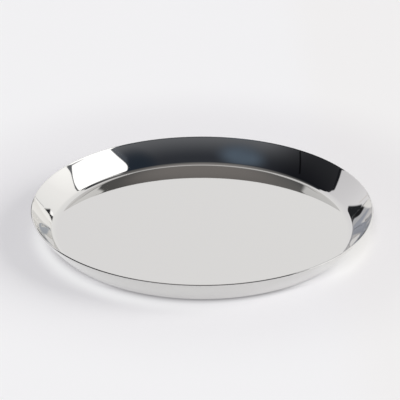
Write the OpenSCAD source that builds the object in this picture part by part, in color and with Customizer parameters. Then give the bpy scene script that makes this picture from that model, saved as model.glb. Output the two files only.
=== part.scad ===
// Round serving tray: a pan drawn from one polished steel sheet, standing on four low bonded feet.
// z = 0 is the table top, +Z runs up through the middle of the tray, and the front is towards -Y.

/* [Pan] */
// Outside diameter over the rim
rim_d = 350; // [280:1:420]
// Height of the pan from its underside to the top of its rim
pan_h = 27.3; // [20:0.1:36]
// Thickness of the steel sheet
sheet_t = 1.4; // [0.8:0.1:2]
// Inside radius of the bend between the floor and the wall
bend_r = 8; // [4:0.5:12]
// Slope of the wall where the bend ends, in degrees from level
bend_angle = 47.5; // [38:0.5:52]
// Slope of the wall at the rim, in degrees from level
rim_angle = 56.5; // [54:0.5:70]

/* [Feet] */
// Diameter of a foot pad
pad_d = 16; // [10:1:26]
// Thickness of a foot pad
pad_h = 1.2; // [1:0.1:4]
// Radius of the rounding round the sole of a pad
sole_round = 0.6; // [0.2:0.1:0.9]
// Thickness of the adhesive disc between a pad and the pan
adhesive_t = 0.4; // [0.2:0.1:1]
// How far the adhesive disc stays inside the edge of its pad
adhesive_inset = 1; // [0.5:0.25:3]
// Distance from the edge of the flat floor in to the edge of a pad
foot_inset = 14; // [4:1:60]
// Bearing of the rear right foot, in degrees from +X
foot_bearing = 45; // [20:1:70]

/* [Hidden] */

// Facets round the axis of the tray and round a foot, and steps along each arc of an outline
pan_facets = 360;
foot_facets = 96;
arc_steps = 12;
steel_colour = "gainsboro";
pad_colour = "dimgray";
adhesive_colour = "whitesmoke";

// The bend and the wall are arcs along the middle of the sheet, tangent where they meet
bend_mid_r = bend_r + sheet_t / 2;
bend_rise = bend_mid_r * (1 - cos(bend_angle));
wall_mid_r = (pan_h - sheet_t - bend_rise) / (cos(bend_angle) - cos(rim_angle));
wall_run = wall_mid_r * (sin(rim_angle) - sin(bend_angle));

// The rim places the free edge of the sheet, and the flat floor is what the wall leaves inside it
lip_centre = [rim_d / 2 - sheet_t / 2, pan_h - sheet_t / 2];
floor_r = lip_centre.x - wall_run - bend_mid_r * sin(bend_angle);
bend_centre = [floor_r, sheet_t + bend_r];
wall_centre = bend_centre - (wall_mid_r - bend_mid_r) * [sin(bend_angle), -cos(bend_angle)];

// The feet hold the pan clear of the table
stand_off = pad_h + adhesive_t;
foot_circle_r = floor_r - foot_inset - pad_d / 2;
adhesive_d = pad_d - 2 * adhesive_inset;
sole_centre = [pad_d / 2 - sole_round, sole_round];

// Points of an arc after its first one, placed by the slope of the outline there
function arc_on(centre, radius, from_slope, to_slope) = [
    for (i = [1:arc_steps])
        let (slope = from_slope + (to_slope - from_slope) * i / arc_steps)
            centre + radius * [sin(slope), -cos(slope)]
];

// Half section of the pan: out along the underside, round the lip and back along the inside
function pan_outline() = concat(
    [[0, 0], [floor_r, 0]],
    arc_on(bend_centre, bend_mid_r + sheet_t / 2, 0, bend_angle),
    arc_on(wall_centre, wall_mid_r + sheet_t / 2, bend_angle, rim_angle),
    arc_on(lip_centre, sheet_t / 2, rim_angle, rim_angle + 180),
    arc_on(wall_centre, wall_mid_r - sheet_t / 2, rim_angle, bend_angle),
    arc_on(bend_centre, bend_mid_r - sheet_t / 2, bend_angle, 0),
    [[0, sheet_t]]
);

// Half section of a pad: a flat sole with a rounded edge, a straight side and a flat top
function pad_outline() = concat(
    [[0, 0], [sole_centre.x, 0]],
    arc_on(sole_centre, sole_round, 0, 90),
    [[pad_d / 2, pad_h], [0, pad_h]]
);

// Place on the circle of feet, counted in quarter turns from the rear right one
module at_foot(quarter) {
    rotate(foot_bearing + 90 * quarter)
        translate([foot_circle_r, 0, 0])
            children();
}

// Low pad that stands on the table
module foot_pad(quarter) {
    at_foot(quarter)
        rotate_extrude($fn = foot_facets)
            polygon(pad_outline());
}

// Thin disc that bonds a pad to the underside of the pan
module adhesive_disc(quarter) {
    at_foot(quarter)
        translate([0, 0, pad_h])
            cylinder(d = adhesive_d, h = adhesive_t, $fn = foot_facets);
}

module tray_pan() {
    color(steel_colour)
        translate([0, 0, stand_off])
            rotate_extrude($fn = pan_facets)
                polygon(pan_outline());
}

module foot_rear_right() { color(pad_colour) foot_pad(0); }
module foot_rear_left() { color(pad_colour) foot_pad(1); }
module foot_front_left() { color(pad_colour) foot_pad(2); }
module foot_front_right() { color(pad_colour) foot_pad(3); }

module adhesive_rear_right() { color(adhesive_colour) adhesive_disc(0); }
module adhesive_rear_left() { color(adhesive_colour) adhesive_disc(1); }
module adhesive_front_left() { color(adhesive_colour) adhesive_disc(2); }
module adhesive_front_right() { color(adhesive_colour) adhesive_disc(3); }

tray_pan();
foot_rear_right();
foot_rear_left();
foot_front_left();
foot_front_right();
adhesive_rear_right();
adhesive_rear_left();
adhesive_front_left();
adhesive_front_right();
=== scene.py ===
import math
import bpy
import numpy as np
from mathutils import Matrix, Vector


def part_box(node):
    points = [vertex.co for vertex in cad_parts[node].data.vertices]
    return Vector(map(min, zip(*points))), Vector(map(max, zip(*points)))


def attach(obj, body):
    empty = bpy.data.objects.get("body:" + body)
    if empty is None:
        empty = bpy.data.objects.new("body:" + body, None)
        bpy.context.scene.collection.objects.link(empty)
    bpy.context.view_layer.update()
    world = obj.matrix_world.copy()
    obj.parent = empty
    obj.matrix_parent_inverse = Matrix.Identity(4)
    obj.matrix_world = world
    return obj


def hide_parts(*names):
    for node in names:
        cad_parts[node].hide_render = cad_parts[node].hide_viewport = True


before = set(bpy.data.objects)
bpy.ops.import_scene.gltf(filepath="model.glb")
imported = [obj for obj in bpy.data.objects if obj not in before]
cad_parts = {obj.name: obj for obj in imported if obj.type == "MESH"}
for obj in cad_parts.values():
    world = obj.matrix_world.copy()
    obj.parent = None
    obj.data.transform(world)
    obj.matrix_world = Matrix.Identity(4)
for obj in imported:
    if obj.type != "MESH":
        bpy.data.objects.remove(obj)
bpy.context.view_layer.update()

scene = bpy.context.scene
scene.view_settings.view_transform = "Standard"


# sRGB hex to linear RGBA
def hexToLinear(text):
    srgb = np.array([int(text[i:i + 2], 16) for i in (1, 3, 5)]) / 255
    linear = np.where(srgb <= 0.04045, srgb / 12.92, ((srgb + 0.055) / 1.055) ** 2.4)
    return (*linear.tolist(), 1.0)


# adds one node with its settings, its constant socket values and its links
def addNode(tree, kind, values={}, links={}, **settings):
    node = tree.nodes.new(kind)
    for name, value in settings.items():
        setattr(node, name, value)
    for socket, value in values.items():
        node.inputs[socket].default_value = value
    for socket, source in links.items():
        tree.links.new(source, node.inputs[socket])
    return node


# an empty node material with its Principled shader wired to the output
def startMaterial(name):
    material = bpy.data.materials.new(name)
    material.use_nodes = True
    tree = material.node_tree
    tree.nodes.clear()
    shader = addNode(tree, "ShaderNodeBsdfPrincipled")
    addNode(tree, "ShaderNodeOutputMaterial", links={"Surface": shader.outputs["BSDF"]})
    return material, tree, shader


# arc: centre plus radius times (sin slope, -cos slope), for slopes in degrees, without its first point
def arcOn(centre, radius, fromSlope, toSlope, steps):
    slope = np.radians(np.linspace(fromSlope, toSlope, steps + 1)[1:])
    return np.array(centre) + radius * np.stack([np.sin(slope), -np.cos(slope)], 1)


# body of revolution: each half-section point (r, z) goes round as (r cos a, r sin a, z),
# and the two ends on the axis close as single points
def revolve(name, section, turns, middle=(0.0, 0.0)):
    angle = np.arange(turns) * (2 * math.pi / turns)
    rings = section[1:-1]
    r = rings[:, 0, None] * np.ones(turns)
    z = rings[:, 1, None] * np.ones(turns)
    grid = np.stack([middle[0] + r * np.cos(angle), middle[1] + r * np.sin(angle), z], 2).reshape(-1, 3)
    poles = np.array([[*middle, section[0, 1]], [*middle, section[-1, 1]]])
    count = len(rings)
    here = np.arange(turns)
    ahead = (here + 1) % turns
    row = turns * np.arange(count - 1)[:, None]
    quads = np.stack([row + here, row + ahead, row + turns + ahead, row + turns + here], 2).reshape(-1, 4)
    first, last = count * turns, count * turns + 1
    top = turns * (count - 1)
    fans = np.concatenate([
        np.stack([np.full(turns, first), ahead, here], 1),
        np.stack([np.full(turns, last), top + here, top + ahead], 1)])
    mesh = bpy.data.meshes.new(name)
    mesh.from_pydata(np.concatenate([grid, poles]).tolist(), [], quads.tolist() + fans.tolist())
    mesh.polygons.foreach_set("use_smooth", np.ones(len(mesh.polygons), dtype=bool))
    mesh.update()
    piece = bpy.data.objects.new(name, mesh)
    scene.collection.objects.link(piece)
    return piece


# puts one number per ring of a revolved piece into a point attribute
def ringAttribute(piece, name, perRing, turns):
    values = np.concatenate([np.repeat(perRing[1:-1], turns), perRing[[0, -1]]])
    layer = piece.data.attributes.new(name, "FLOAT", "POINT")
    layer.data.foreach_set("value", values.astype(np.float32))


# Camera: at the photograph's viewing angle, a long lens from about a metre and a half
view = dict(distance=1.575, elevation=26.61, pitch=25.545, yaw=0.0855, lens=136.98, sensor=36.0)
cameraData = bpy.data.cameras.new("camera")
cameraData.lens = view["lens"]
cameraData.sensor_width = view["sensor"]
camera = bpy.data.objects.new("camera", cameraData)
lift = math.radians(view["elevation"])
camera.location = (0, -view["distance"] * math.cos(lift), view["distance"] * math.sin(lift))
camera.rotation_euler = (math.radians(90 - view["pitch"]), 0, math.radians(view["yaw"]))
scene.collection.objects.link(camera)
scene.camera = camera
print("camera: lens", view["lens"], "mm")


# Stainless steel, drawn and mirror polished: throws the room back at about two thirds of its light, a
# touch warm, with a breath of buffing haze that never quite lets the reflections go sharp
steel = dict(colour="#D6D5D3", polish=0.03, haze=0.01, hazeSize=0.045, hazeDetail=3.0, hazeRoughness=0.6,
             edgeGrind=0.06, underside=0.1)


# roughness: the polish, more or less by the haze, plus a share on the ground edge and on the underside
def polishedSteel():
    material, tree, shader = startMaterial("stainlessSteelMirrorPolished")
    place = addNode(tree, "ShaderNodeTexCoord").outputs["Object"]
    haze = addNode(tree, "ShaderNodeTexNoise",
                   {"Scale": 1 / steel["hazeSize"], "Detail": steel["hazeDetail"],
                    "Roughness": steel["hazeRoughness"]},
                   {"Vector": place})
    grind = addNode(tree, "ShaderNodeAttribute", attribute_name="rimEdge")
    under = addNode(tree, "ShaderNodeAttribute", attribute_name="underside")
    hazy = addNode(tree, "ShaderNodeMapRange",
                   {"To Min": steel["polish"] - steel["haze"], "To Max": steel["polish"] + steel["haze"]},
                   {"Value": haze.outputs["Fac"]})
    lower = addNode(tree, "ShaderNodeMath", {1: steel["underside"]},
                    {0: under.outputs["Fac"], 2: hazy.outputs["Result"]}, operation="MULTIPLY_ADD")
    edge = addNode(tree, "ShaderNodeMath", {1: steel["edgeGrind"]},
                   {0: grind.outputs["Fac"], 2: lower.outputs["Value"]}, operation="MULTIPLY_ADD")
    tree.links.new(edge.outputs["Value"], shader.inputs["Roughness"])
    shader.inputs["Base Color"].default_value = hexToLinear(steel["colour"])
    shader.inputs["Metallic"].default_value = 1.0
    return material


# Pan: lipRound is the round at each side of the free edge, lipOut how far its flat crown stands out, and
# floorEdge a last narrow ring that keeps the floor flat up to the bend
panLow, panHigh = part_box("tray_pan")
pan = dict(sheet=0.0014, bendInside=0.008, bendSlope=47.5, rimSlope=56.5, lipRound=0.00035, lipOut=0.00004,
           lipSteps=6, floorEdge=0.0003, turns=640, floorRings=10, bendSteps=18, wallSteps=22)


# half section: out along the underside, up the outer wall, round the lip, down the inner wall and back
# across the floor, with the solid's two arcs along the middle of the sheet, tangent where they meet
def panSection():
    half = pan["sheet"] / 2
    bendSlope, rimSlope = pan["bendSlope"], pan["rimSlope"]
    bendMid = pan["bendInside"] + half
    sinBend, cosBend = math.sin(math.radians(bendSlope)), math.cos(math.radians(bendSlope))
    sinRim, cosRim = math.sin(math.radians(rimSlope)), math.cos(math.radians(rimSlope))
    lip = np.array([panHigh[0] - half, panHigh[2] - half])
    rise = lip[1] - (panLow[2] + half) - bendMid * (1 - cosBend)
    wallMid = rise / (cosBend - cosRim)
    floorR = lip[0] - wallMid * (sinRim - sinBend) - bendMid * sinBend
    bend = np.array([floorR, panLow[2] + half + bendMid])
    wall = bend - (wallMid - bendMid) * np.array([sinBend, -cosBend])
    along, across = np.array([cosRim, sinRim]), np.array([sinRim, -cosRim])
    lipRound, lipSteps = pan["lipRound"], pan["lipSteps"]
    lipOuter = lip + pan["lipOut"] * along + (half - lipRound) * across
    lipInner = lip + pan["lipOut"] * along - (half - lipRound) * across
    floorRs = np.append(np.linspace(0, floorR - pan["floorEdge"], pan["floorRings"]), floorR)
    parts = dict(
        underside=np.stack([floorRs, np.full_like(floorRs, panLow[2])], 1),
        outerBend=arcOn(bend, bendMid + half, 0, bendSlope, pan["bendSteps"]),
        outerWall=arcOn(wall, wallMid + half, bendSlope, rimSlope, pan["wallSteps"]),
        lip=np.concatenate([
            arcOn(lipOuter, lipRound, rimSlope, rimSlope + 90, lipSteps),
            arcOn(lipInner, lipRound, rimSlope + 90 - 90 / lipSteps, rimSlope + 180, lipSteps + 1)]),
        innerWall=arcOn(wall, wallMid - half, rimSlope, bendSlope, pan["wallSteps"]),
        innerBend=arcOn(bend, bendMid - half, bendSlope, 0, pan["bendSteps"]),
        floor=np.stack([floorRs[::-1], np.full_like(floorRs, panLow[2] + pan["sheet"])], 1)[1:])
    names = np.repeat(list(parts), [len(part) for part in parts.values()])
    return np.concatenate(list(parts.values())), names


section, names = panSection()
panPiece = revolve("trayPan", section, pan["turns"])
ringAttribute(panPiece, "rimEdge", (names == "lip").astype(float), pan["turns"])
ringAttribute(panPiece, "underside", (names == "underside").astype(float), pan["turns"])
panPiece.data.materials.append(polishedSteel())
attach(panPiece, "root")
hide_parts("tray_pan")
print("pan:", len(section), "rings,", len(panPiece.data.polygons), "faces")


# Silicone, compression moulded with a matt skin: dark grey and dull, with a soft sheen only at glancing
# angles, and a little paler where the skin is worn
silicone = dict(colour="#3B3C3E", other="#45464A", roughness=0.62, spread=0.08, grain=0.0006, skin=0.00003,
                index=1.41)
# Acrylic foam tape, die cut: milky grey-white, a little darker in a fine random grain
foam = dict(colour="#DAD9D5", other="#BFBEBA", roughness=0.8, spread=0.08, grain=0.00025, skin=0.00004,
            index=1.47)
grainNoise = dict(detail=4.0, roughness=0.55)


# a dull material whose colour, roughness and surface all follow one grain of the given size
def grainy(name, look):
    material, tree, shader = startMaterial(name)
    place = addNode(tree, "ShaderNodeTexCoord").outputs["Object"]
    grain = addNode(
        tree, "ShaderNodeTexNoise",
        {"Scale": 1 / look["grain"], "Detail": grainNoise["detail"], "Roughness": grainNoise["roughness"]},
        {"Vector": place}).outputs["Fac"]
    tone = addNode(tree, "ShaderNodeMix",
                   {"A": hexToLinear(look["other"]), "B": hexToLinear(look["colour"])},
                   {"Factor": grain}, data_type="RGBA")
    smoothest, roughest = look["roughness"] - look["spread"], look["roughness"] + look["spread"]
    rough = addNode(tree, "ShaderNodeMapRange", {"To Min": smoothest, "To Max": roughest}, {"Value": grain})
    skin = addNode(tree, "ShaderNodeBump", {"Distance": look["skin"]}, {"Height": grain})
    tree.links.new(tone.outputs["Result"], shader.inputs["Base Color"])
    tree.links.new(rough.outputs["Result"], shader.inputs["Roughness"])
    tree.links.new(skin.outputs["Normal"], shader.inputs["Normal"])
    shader.inputs["IOR"].default_value = look["index"]
    return material


# Foot: a flat disc with a rounded sole and a small round at its top edge. Inner is the share of the radius
# at which each flat face has one ring
foot = dict(soleRound=0.0006, topRound=0.0002, inner=0.5, turns=96, steps=8)
# Tape disc: its side bows out by a hair between the two faces, as squeezed foam does
tape = dict(bow=0.00012, inner=0.6, turns=72, steps=6)
places = ["rear_right", "rear_left", "front_left", "front_right"]
footLook = grainy("siliconeMouldedMatte", silicone)
tapeLook = grainy("acrylicFoamTape", foam)


# half section: out along the sole, round its edge, up the side, over the top round and back to the axis
def footSection(low, high):
    radius, sole, top = (high[0] - low[0]) / 2, foot["soleRound"], foot["topRound"]
    inner = radius * foot["inner"]
    return np.concatenate([
        [(0, low[2]), (inner, low[2]), (radius - sole, low[2])],
        arcOn((radius - sole, low[2] + sole), sole, 0, 90, foot["steps"]),
        arcOn((radius - top, high[2] - top), top, 90 - 90 / foot["steps"], 180, foot["steps"] + 1),
        [(inner, high[2]), (0, high[2])]])


# side of the tape: radius less the bow, plus the bow times the sine of the height's share of a half turn
def tapeSection(low, high):
    share = np.linspace(0, 1, tape["steps"] + 1)
    side = (high[0] - low[0]) / 2 - tape["bow"] + tape["bow"] * np.sin(math.pi * share)
    edge = np.stack([side, low[2] + (high[2] - low[2]) * share], 1)
    inner = side[0] * tape["inner"]
    return np.concatenate([[(0, low[2]), (inner, low[2])], edge, [(inner, high[2]), (0, high[2])]])


for place in places:
    for kind, makeSection, shape, look, slot in (("foot", footSection, foot, footLook, "foot_silicone"),
                                                 ("adhesive", tapeSection, tape, tapeLook, "adhesive")):
        node = kind + "_" + place
        low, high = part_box(node)
        middle = ((low[0] + high[0]) / 2, (low[1] + high[1]) / 2)
        name = kind + place.title().replace("_", "")
        piece = revolve(name, makeSection(low, high), shape["turns"], middle)
        piece.data.materials.append(look)
        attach(piece, "root")
        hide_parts(node)
print("feet:", len(places), "pads on", len(places), "tape discs")


# Table top, matt white laminate: pale and even, it carries the tray's soft shadow. Part of what the camera
# and the steel see of it is plain paper white. Into that white are painted a shade near the tray, where
# less light falls, warm light on the right, a ring of light like that which the outside of the wall throws
# down beside it, more light in the wall's own reflection of it, and shade under the pan. A contact shadow
# is painted into the laminate's own colour where it meets the front of the tray
table = dict(
    colour="#F3F3F5", paintedContactShadow="#A8A8AA", roughness=0.9, specular=0.1, half=20.0,
    paper="#F0F0F1", paintedShadeNearTray="#D9D7DA", ring="#F4F4F5", warm="#FCFAF6",
    paperShare=0.4, paintedShadeUnderShare=0.32, ringShare=0.24, leftShares=(0.1, 1.0), rightShare=1.35,
    paintedReflectionShare=0.45, nearMiddle=(0.0, 0.06, 0.0),
    # each span is the two distances in metres between which one tone goes over into another
    paintedShadeSpan=(0.20, 0.36), paintedShadeUnderSpan=(0.152, 0.163), paintedWarmSpan=(0.10, 0.17), paintedReflectionSpan=(0.19, 0.155),
    ringRise=(0.152, 0.165), ringFall=(0.184, 0.165), ringLeft=(0.1, -0.1),
    rightRise=(0.143, 0.156), rightFall=(0.188, 0.162), ringRight=(0.100, 0.152),
    paintedShadowSpan=(0.149, 0.161), paintedShadowFront=(-0.142, -0.114))


# colour: mixes of the tones above, painted shade and light among them, by soft steps of the distance from
# the middle and of x and y
def paleTable():
    material, tree, shader = startMaterial("laminateMatteWhite")
    shader.inputs["Roughness"].default_value = table["roughness"]
    shader.inputs["Specular IOR Level"].default_value = table["specular"]
    rays = addNode(tree, "ShaderNodeLightPath")
    place = addNode(tree, "ShaderNodeTexCoord").outputs["Object"]
    axes = addNode(tree, "ShaderNodeSeparateXYZ", links={"Vector": place}).outputs
    radius = addNode(tree, "ShaderNodeVectorMath", links={0: place}, operation="LENGTH").outputs["Value"]
    away = addNode(tree, "ShaderNodeVectorMath", {1: table["nearMiddle"]}, {0: place},
                   operation="DISTANCE").outputs["Value"]
    steps = [
        (away, "paintedShadeSpan", 0.0, 1.0),
        (radius, "paintedShadeUnderSpan", table["paintedShadeUnderShare"], table["paperShare"]),
        (axes["X"], "paintedWarmSpan", 0.0, 1.0),
        (radius, "paintedReflectionSpan", 0.0, table["paintedReflectionShare"]),
        (radius, "ringRise", 0.0, 1.0),
        (radius, "ringFall", 0.0, 1.0),
        (axes["X"], "ringLeft", *table["leftShares"]),
        (radius, "rightRise", 0.0, 1.0),
        (radius, "rightFall", 0.0, 1.0),
        (axes["X"], "ringRight", 0.0, table["rightShare"]),
        (radius, "paintedShadowSpan", 0.0, 1.0),
        (axes["Y"], "paintedShadowFront", 0.0, 1.0)]
    paintedShadeFade, share, paintedWarmth, close, *rings, clear, beyond = [
        addNode(tree, "ShaderNodeMapRange",
                {"From Min": table[span][0], "From Max": table[span][1], "To Min": low, "To Max": high},
                {"Value": value}, interpolation_type="SMOOTHSTEP").outputs["Result"]
        for value, span, low, high in steps]

    # the laminate, with a painted contact shadow at the front that is left out of the steel's reflection of
    # it
    mirrored = addNode(tree, "ShaderNodeMath", links={0: rays.outputs["Is Glossy Ray"], 1: beyond},
                       operation="MAXIMUM").outputs[0]
    bare = addNode(tree, "ShaderNodeMath", links={0: clear, 1: mirrored}, operation="MAXIMUM").outputs[0]
    ground = addNode(tree, "ShaderNodeMix",
                     {"A": hexToLinear(table["paintedContactShadow"]), "B": hexToLinear(table["colour"])},
                     {"Factor": bare}, data_type="RGBA")
    tree.links.new(ground.outputs["Result"], shader.inputs["Base Color"])

    # the paper white, with painted shade near the tray, a painted ring of light, painted light where the
    # steel mirrors it and painted warm light on the right
    ring = addNode(tree, "ShaderNodeMath", links={0: rays.outputs["Is Glossy Ray"], 1: close},
                   operation="MULTIPLY").outputs[0]
    for rise, fall, strength in (rings[:3], rings[3:]):
        around = addNode(tree, "ShaderNodeMath", links={0: rise, 1: fall}, operation="MULTIPLY").outputs[0]
        ring = addNode(tree, "ShaderNodeMath", links={0: around, 1: strength, 2: ring},
                       operation="MULTIPLY_ADD").outputs[0]
    tone = addNode(tree, "ShaderNodeMix",
                   {"A": hexToLinear(table["paintedShadeNearTray"]), "B": hexToLinear(table["paper"])},
                   {"Factor": paintedShadeFade}, data_type="RGBA")
    lit = addNode(tree, "ShaderNodeMix", {"B": hexToLinear(table["ring"])},
                  {"Factor": ring, "A": tone.outputs["Result"]}, data_type="RGBA")
    # painted warm light, on the right where the key lamp falls
    warmed = addNode(tree, "ShaderNodeMix", {"B": hexToLinear(table["warm"])},
                     {"Factor": paintedWarmth, "A": lit.outputs["Result"]},
                     data_type="RGBA", blend_type="MULTIPLY")
    paper = addNode(tree, "ShaderNodeEmission", links={"Color": warmed.outputs["Result"]})

    # how much of the paper white shows, to the camera, through glass and in the steel only: less under the
    # pan, as painted shade, and more in the painted ring of light
    more = addNode(tree, "ShaderNodeMath", {1: table["ringShare"]}, {0: ring, 2: share},
                   operation="MULTIPLY_ADD").outputs[0]
    seen = rays.outputs["Is Camera Ray"]
    for ray in ("Is Glossy Ray", "Is Transmission Ray"):
        seen = addNode(tree, "ShaderNodeMath", links={0: seen, 1: rays.outputs[ray]},
                       operation="MAXIMUM").outputs[0]
    shown = addNode(tree, "ShaderNodeMath", links={0: seen, 1: more}, operation="MULTIPLY").outputs[0]
    mixed = addNode(tree, "ShaderNodeMixShader",
                    links={0: shown, 1: shader.outputs["BSDF"], 2: paper.outputs["Emission"]})
    tree.links.new(mixed.outputs["Shader"], tree.nodes["Material Output"].inputs["Surface"])
    return material


floorMesh = bpy.data.meshes.new("floor")
side = table["half"]
corners = [(-side, -side, 0), (side, -side, 0), (side, side, 0), (-side, side, 0)]
floorMesh.from_pydata(corners, [], [(0, 1, 2, 3)])
floor = bpy.data.objects.new("floor", floorMesh)
scene.collection.objects.link(floor)
floorMesh.materials.append(paleTable())
print("floor: set")


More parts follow.
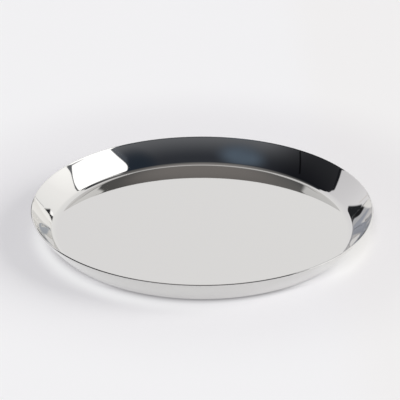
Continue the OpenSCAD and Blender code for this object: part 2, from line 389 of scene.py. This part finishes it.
# Studio: what the mirror sees, a list of cards from far to near. A card lies within its corners, given as
# bearings in degrees (azimuth from +Y towards +X, elevation above the table), within its reach of its
# middle, or within both, with an edge as soft as given. Tints change its colour from one sideways position
# to the next, and cover is its density. A card close to the tray is hidden from some walls, so it shows in
# the first reflection or in later ones only
backdropColour = (0.80, 0.79, 0.815)
backdropTints = [(-0.85, -0.62, (0.93, 0.92, 0.945)), (-0.62, 0.55, (1.065, 1.065, 1.055)),
                 (0.5, 0.78, (1.22, 1.21, 1.2)), (0.76, 0.87, (1.38, 1.375, 1.36))]
studio = dict(
    dark=(0.041, 0.045, 0.055),  # where no card is
    pale=(0.875, 0.875, 0.895),  # what the camera sees past the table
    ambient=(1.0, 0.98, 1.03), ambientLevel=0.205,  # what lights dull surfaces
    firstDepth=1.5,  # glossy depth is 1 in the first reflection and 2 or more in later ones
    cards=[
        dict(name="ceiling", middle=(0, 80), reach=31, soft=8.0, colour=(0.252, 0.248, 0.247),
             tints=[(-0.75, 0.75, (0.1, 0.099, 0.098))]),
        dict(name="ceilingLamp", middle=(0, 75), reach=11, soft=10.0, colour=(0.315, 0.295, 0.288)),
        dict(name="wallWash", middle=(180, -74.4), reach=124, soft=9.0, colour=(0.174, 0.180, 0.194)),
        dict(name="leftDusk", middle=(284, 31), reach=26, soft=20.0, colour=(0.006, 0.006, 0.008),
             cover=0.86, shows="first"),
        dict(name="tableSweep", middle=(0, -90), reach=104, soft=8.0, colour=(0.62, 0.62, 0.63)),
        dict(name="frontSheet", middle=(180, -40), reach=69, soft=5.0, colour=(0.62, 0.62, 0.63)),
        dict(name="rightDusk", middle=(114, 52), reach=7, soft=8.0, colour=(0.02, 0.03, 0.045), cover=0.85),
        dict(name="softboxSpill", soft=1.6, colour=(0.19, 0.212, 0.25), cover=0.3, shows="first",
             corners=[(106, 30), (111.3, 32.5), (114, 44), (109, 47)]),
        dict(name="windowGlow", soft=6.0, colour=(0.106, 0.140, 0.184),
             corners=[(196, 53), (206, 60), (230, 58.5), (240, 51.5), (231, 46), (207, 46.5)]),
        dict(name="backdropGlow", middle=(-4, 48), reach=10, soft=9.0, colour=(0.9, 0.885, 0.88),
             cover=0.85, shows="first"),
        dict(name="backdrop", middle=(0, -90), reach=134.8, soft=0.5, colour=backdropColour,
             tints=backdropTints,
             corners=[(-61, -30), (60.5, -30), (60.5, 38), (55, 43), (-45, 43.6), (-60.5, 31),
                      (-60.7, 25.5)]),
        dict(name="backdropLeft", soft=0.4, colour=backdropColour, tints=backdropTints,
             corners=[(-80, -6), (-58, -6), (-58, 25), (-59.4, 25.2), (-68.5, 19.6), (-77, 13), (-80, 8)]),
        dict(name="backdropSide", soft=0.4, colour=backdropColour, tints=backdropTints,
             corners=[(40, -6), (63.4, -6), (63.2, 28), (57, 36), (50, 40), (40, 42.6)]),
        dict(name="backdropEnd", soft=0.4, colour=backdropColour, tints=backdropTints,
             corners=[(60, -6), (71.7, -6), (71.6, 22.4), (71.1, 23.8), (69.9, 24.9), (66.1, 26.7),
                      (60, 29.2)]),
        dict(name="topGlow", soft=3.0, colour=(0.5, 0.49, 0.485), shows="later",
             corners=[(-12, 45), (-14, 60), (10, 60), (12, 45)]),
        dict(name="backdropTop", soft=1.0, colour=(0.9, 0.89, 0.89), shows="later",
             corners=[(-15, 40), (-16.2, 52.5), (18.4, 52.5), (17, 40)]),
        dict(name="wingRight", soft=0.4, colour=(1.08, 1.08, 1.08), shows="later",
             corners=[(19, 49.4), (24.5, 51.7), (30, 46), (25, 40), (17, 40)]),
        dict(name="wingRightEnd", soft=0.4, colour=(1.08, 1.08, 1.08), shows="later",
             corners=[(24.5, 51.7), (36.2, 57), (46, 50), (40, 40), (24, 40)]),
        dict(name="wingLeft", soft=0.4, colour=(0.94, 0.94, 0.95), shows="later",
             corners=[(-16.4, 47.4), (-34.8, 56.3), (-45, 50), (-40, 40), (-15, 40)]),
        dict(name="leftFar", soft=2.0, colour=(0.76, 0.77, 0.82), shows="later",
             corners=[(240, -6), (302, -6), (302, 36), (240, 40)]),
        dict(name="leftNear", soft=1.5, colour=(0.535, 0.565, 0.65), shows="later",
             corners=[(303, 18), (334, 18), (334, 31), (303, 31)]),
        dict(name="rightNear", soft=1.5, colour=(0.69, 0.74, 0.82), shows="later",
             corners=[(24, 22), (44, 22), (44, 33), (24, 33)]),
        dict(name="flagDeep", soft=0.6, colour=(0.025, 0.025, 0.028), shows="later",
             corners=[(276, 27), (292.5, 27), (295.9, 28.3), (294.5, 30.6), (291.4, 33), (286, 37),
                      (278, 40)]),
        dict(name="flagTail", soft=0.5, colour=(0.05, 0.05, 0.055), shows="later",
             corners=[(288, 33.6), (293.2, 33.6), (293.2, 37), (288, 37)]),
        dict(name="leftLit", soft=0.5, colour=(1.36, 1.35, 1.36), shows="later",
             corners=[(282, 8), (282, 31.9), (287.4, 29.7), (305, 19.6), (310, 15.2), (313, 8)]),
        dict(name="softboxNear", soft=1.5, colour=(1.5, 1.49, 1.48), shows="later",
             corners=[(46, 4), (76, 4), (74, 31), (48, 31)]),
        dict(name="gapLeft", soft=0.35, colour=(0.022, 0.023, 0.026),
             corners=[(318.1, 13.8), (325.9, 4.1), (338, 0), (334, 9), (327, 12.5)]),
        dict(name="gapRight", soft=0.35, colour=(0.022, 0.023, 0.026),
             corners=[(36.6, 9), (29, 0), (26, 0), (31.2, 8.2), (32.9, 8.7)]),
        dict(name="softboxWing", soft=1.0, colour=(0.9, 0.9, 0.9), shows="first",
             corners=[(57, 41), (56, 50), (62, 60), (77, 60), (74, 50), (64, 42)]),
        dict(name="softboxEdge", soft=0.4, colour=(0.1, 0.1, 0.105), shows="first",
             corners=[(42, 42.4), (50, 40.9), (58.5, 38.4), (58.5, 42), (50, 44.6)]),
        dict(name="gapLight", soft=0.25, colour=(1.4, 1.39, 1.38), shows="first",
             corners=[(33, 7), (36, 8.8), (35.6, 9.7), (33.2, 8.8), (32.8, 7.5)]),
        dict(name="seamLeft", soft=0.12, colour=(0.5, 0.5, 0.51), shows="first",
             corners=[(32.95, 0.8), (33.35, 0.8), (33.75, 4.6), (33.35, 4.6)]),
        dict(name="seamRight", soft=0.12, colour=(0.72, 0.66, 0.60), shows="first",
             corners=[(322.7, 6.8), (323.05, 6.8), (324.2, 2.2), (323.85, 2.2)]),
        dict(name="flag", soft=0.4, colour=(0.014, 0.015, 0.018), shows="first",
             corners=[(283, 12.9), (291.7, 18.7), (300.4, 24.6), (300, 25.6), (299.2, 26.3), (290.5, 20.9),
                      (282, 14.8)]),
        dict(name="flagSeam", soft=0.3, colour=(0.004, 0.004, 0.005), shows="first",
             corners=[(255.4, 32.2), (256.3, 31.8), (271.5, 40.2), (270.6, 41)]),
        dict(name="softbox", soft=0.4, colour=(1.7, 1.7, 1.7),
             corners=[(107.2, 32.2), (107.6, 34), (109.5, 44.5), (109.4, 46.3), (108.5, 47.8),
                      (106.8, 48.6), (84, 53.8), (66, 47.5), (58.2, 40.2), (64, 29.2), (66.3, 27.2),
                      (70.8, 25.2), (75.6, 23.5), (90, 28.4)]),
        dict(name="gapDeep", soft=0.4, colour=(0.06, 0.06, 0.065), shows="later",
             corners=[(69.5, 34.6), (78, 34.6), (78, 37.5), (69.5, 37.5)]),
    ])


# unit vector at a bearing: (sin azimuth cos elevation, cos azimuth cos elevation, sin elevation)
def bearing(azimuth, elevation):
    a, e = math.radians(azimuth), math.radians(elevation)
    return np.array([math.sin(a) * math.cos(e), math.cos(a) * math.cos(e), math.sin(e)])


# a card's mask is its density times a soft step across the plane through the tray and each of its edges,
# and times a soft step round its middle
def buildStudio():
    world = bpy.data.worlds.new("studio")
    world.use_nodes = True
    tree = world.node_tree
    tree.nodes.clear()
    look = addNode(tree, "ShaderNodeTexCoord").outputs["Generated"]
    sideways = addNode(tree, "ShaderNodeSeparateXYZ", links={"Vector": look}).outputs["X"]
    rays = addNode(tree, "ShaderNodeLightPath")
    shows = {
        name: addNode(tree, "ShaderNodeMath", {1: studio["firstDepth"]}, {0: rays.outputs["Glossy Depth"]},
                      operation=operation).outputs[0]
        for name, operation in (("first", "LESS_THAN"), ("later", "GREATER_THAN"))}
    seen = None
    for card in studio["cards"]:
        soft = math.radians(card["soft"])
        corners = [bearing(*corner) for corner in card.get("corners", [])]
        inward = np.sum(corners, 0)
        planes = [np.cross(here, ahead) for here, ahead in zip(corners, corners[1:] + corners[:1])]
        edges = [(plane * np.sign(plane @ inward) / np.linalg.norm(plane), -math.sin(soft), math.sin(soft))
                 for plane in planes]
        if "reach" in card:
            reach = math.radians(card["reach"])
            edges.append((bearing(*card["middle"]), math.cos(reach + soft), math.cos(max(reach - soft, 0))))
        mask = shows.get(card.get("shows"))
        for index, (across, outer, inner) in enumerate(edges):
            reached = addNode(tree, "ShaderNodeVectorMath", {1: across.tolist()}, {0: look},
                              operation="DOT_PRODUCT")
            dense = card.get("cover", 1.0) if index == 0 else 1.0
            step = addNode(tree, "ShaderNodeMapRange",
                           {"From Min": outer, "From Max": inner, "To Max": dense},
                           {"Value": reached.outputs["Value"]}, interpolation_type="SMOOTHSTEP")
            if mask is not None:
                step = addNode(tree, "ShaderNodeMath", links={0: mask, 1: step.outputs[0]},
                               operation="MULTIPLY")
            mask = step.outputs[0]
        over = addNode(tree, "ShaderNodeMix", {"A": (*studio["dark"], 1), "B": (*card["colour"], 1)},
                       {"Factor": mask}, data_type="RGBA")
        if seen is not None:
            tree.links.new(seen, over.inputs["A"])
        shade = None
        for low, high, tint in card.get("tints", []):
            ramp = addNode(tree, "ShaderNodeMapRange", {"From Min": low, "From Max": high},
                           {"Value": sideways})
            blend = addNode(tree, "ShaderNodeMix", {"A": (*card["colour"], 1), "B": (*tint, 1)},
                            {"Factor": ramp.outputs["Result"]}, data_type="RGBA")
            if shade is not None:
                tree.links.new(shade, blend.inputs["A"])
            shade = blend.outputs["Result"]
        if shade is not None:
            tree.links.new(shade, over.inputs["B"])
        seen = over.outputs["Result"]
    room = addNode(tree, "ShaderNodeBackground", links={"Color": seen})
    ambient = addNode(tree, "ShaderNodeBackground",
                      {"Color": (*studio["ambient"], 1), "Strength": studio["ambientLevel"]})
    pale = addNode(tree, "ShaderNodeBackground", {"Color": (*studio["pale"], 1)})
    through = addNode(tree, "ShaderNodeMath", operation="MAXIMUM", links={
        0: rays.outputs["Is Camera Ray"], 1: rays.outputs["Is Transmission Ray"]})
    plain = addNode(tree, "ShaderNodeMixShader", links={
        0: through.outputs[0], 1: ambient.outputs[0], 2: pale.outputs[0]})
    mixed = addNode(tree, "ShaderNodeMixShader", links={
        0: rays.outputs["Is Glossy Ray"], 1: plain.outputs[0], 2: room.outputs[0]})
    addNode(tree, "ShaderNodeOutputWorld", links={"Surface": mixed.outputs[0]})
    scene.world = world


buildStudio()
print("studio:", len(studio["cards"]), "cards")


# Lamps: the big softbox on the right and a fill from the front, both far off and broad, so that the table
# is lit evenly and its shadows are soft. The level is what a flat table gets of each, and the mirror sees
# them in the studio list instead
lamps = [
    dict(name="keySoftbox", azimuth=93, elevation=24, spread=40, level=0.325, colour=(1, 0.985, 0.955)),
    dict(name="frontFill", azimuth=188, elevation=42, spread=22, level=0.47, colour=(1, 1, 1)),
]
for lamp in lamps:
    lampData = bpy.data.lights.new(lamp["name"], "SUN")
    lampData.angle = math.radians(lamp["spread"])
    lampData.color = lamp["colour"]
    lampData.energy = lamp["level"] * math.pi / math.sin(math.radians(lamp["elevation"]))
    lampObject = bpy.data.objects.new(lamp["name"], lampData)
    tilt, turn = math.radians(90 - lamp["elevation"]), math.radians(180 - lamp["azimuth"])
    lampObject.rotation_euler = (tilt, 0, turn)
    lampObject.visible_glossy = False
    scene.collection.objects.link(lampObject)
print("lamps:", len(lamps))
